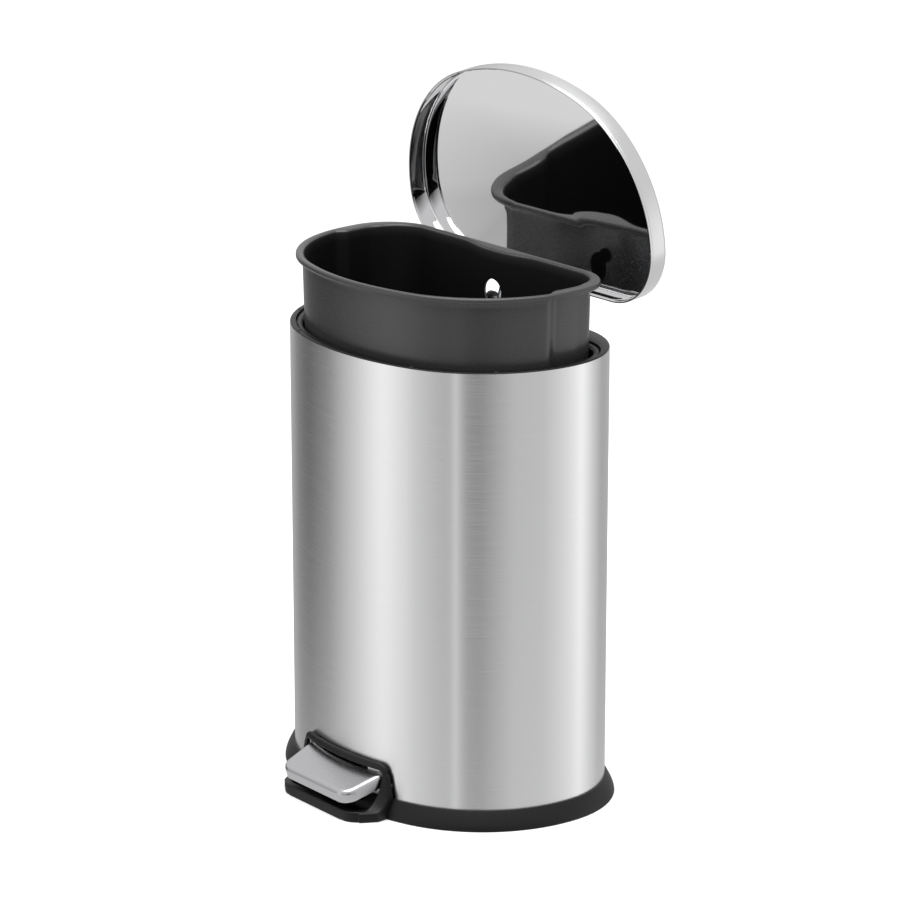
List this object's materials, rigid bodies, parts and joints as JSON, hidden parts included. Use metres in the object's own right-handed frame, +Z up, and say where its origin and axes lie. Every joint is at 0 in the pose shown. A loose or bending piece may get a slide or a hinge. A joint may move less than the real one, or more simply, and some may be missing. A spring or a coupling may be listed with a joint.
{
  "type": "pedal trash can",
  "caption": "Semi-round steel pedal trash can with a hinged lid standing open, a plastic base and a lifted inner bucket.",
  "frame": {"origin": "centre of the body's plan on the floor plane, under the base", "axes": "+Z up, front with the pedal towards -Y, +X to the right seen from the front"},
  "size_m": [0.352, 0.2831, 0.6593],
  "materials": {
    "steel_shell": "vertical body sheet with a fine horizontal brushed grain",
    "lid_steel": "satin outside, mirror polished inside",
    "pedal_steel": "brushed",
    "zinc_steel": "bright zinc plate",
    "spring_steel": "black oxide",
    "black_plastic": "moulded, satin",
    "grey_plastic": "moulded, fine texture",
    "rubber": "matte"
  },
  "bodies": {
    "can": {"body_shell": "steel_shell", "base": "black_plastic", "rubber_feet": "rubber", "pedal_shroud": "black_plastic", "shroud_screws": "zinc_steel", "pedal_axle": "zinc_steel", "axle_clips": "spring_steel", "rod_guides": "black_plastic", "guide_screws": "zinc_steel", "top_ring": "black_plastic", "hinge_housing": "black_plastic", "housing_screws": "zinc_steel", "hinge_pin": "zinc_steel", "pin_clips": "spring_steel", "lid_bumpers": "rubber", "pedal_spring": "spring_steel"},
    "lid": {"lid_shell": "lid_steel", "lid_bracket": "zinc_steel", "lid_rivets": "zinc_steel", "crank_pin": "zinc_steel"},
    "pedal": {"pedal_cap": "pedal_steel", "pedal_lever": "spring_steel"},
    "rod": {"push_rod": "zinc_steel", "rod_pin": "zinc_steel"},
    "bucket": {"bucket": "grey_plastic"}
  },
  "joints": [
    {"name": "lid_hinge", "type": "hinge", "parent": "can", "child": "lid", "pos_m": [0, 0.1177, 0.4276], "axis": [1, 0, 0], "range_deg": [0, 83]},
    {"name": "pedal_hinge", "type": "hinge", "parent": "can", "child": "pedal", "pos_m": [0, -0.0891, 0.03], "axis": [1, 0, 0], "range_deg": [-7.07, 0], "deforming": ["pedal_spring"]},
    {"name": "rod_slide", "type": "slide", "parent": "can", "child": "rod", "axis": [0, 0, 1], "range_m": [-0.02385, 0]},
    {"name": "bucket_slide", "type": "slide", "parent": "can", "child": "bucket", "axis": [0, 0, 1], "range_m": [-0.0614, 0]}
  ],
  "couplings": [
    {"joint": "pedal_hinge", "follows": "lid_hinge", "ratio": -0.085233},
    {"joint": "rod_slide", "follows": "lid_hinge", "m_per_rad": -0.016466},
    {"joint": "bucket_slide", "follows": "lid_hinge", "m_per_rad": -0.042385}
  ]
}
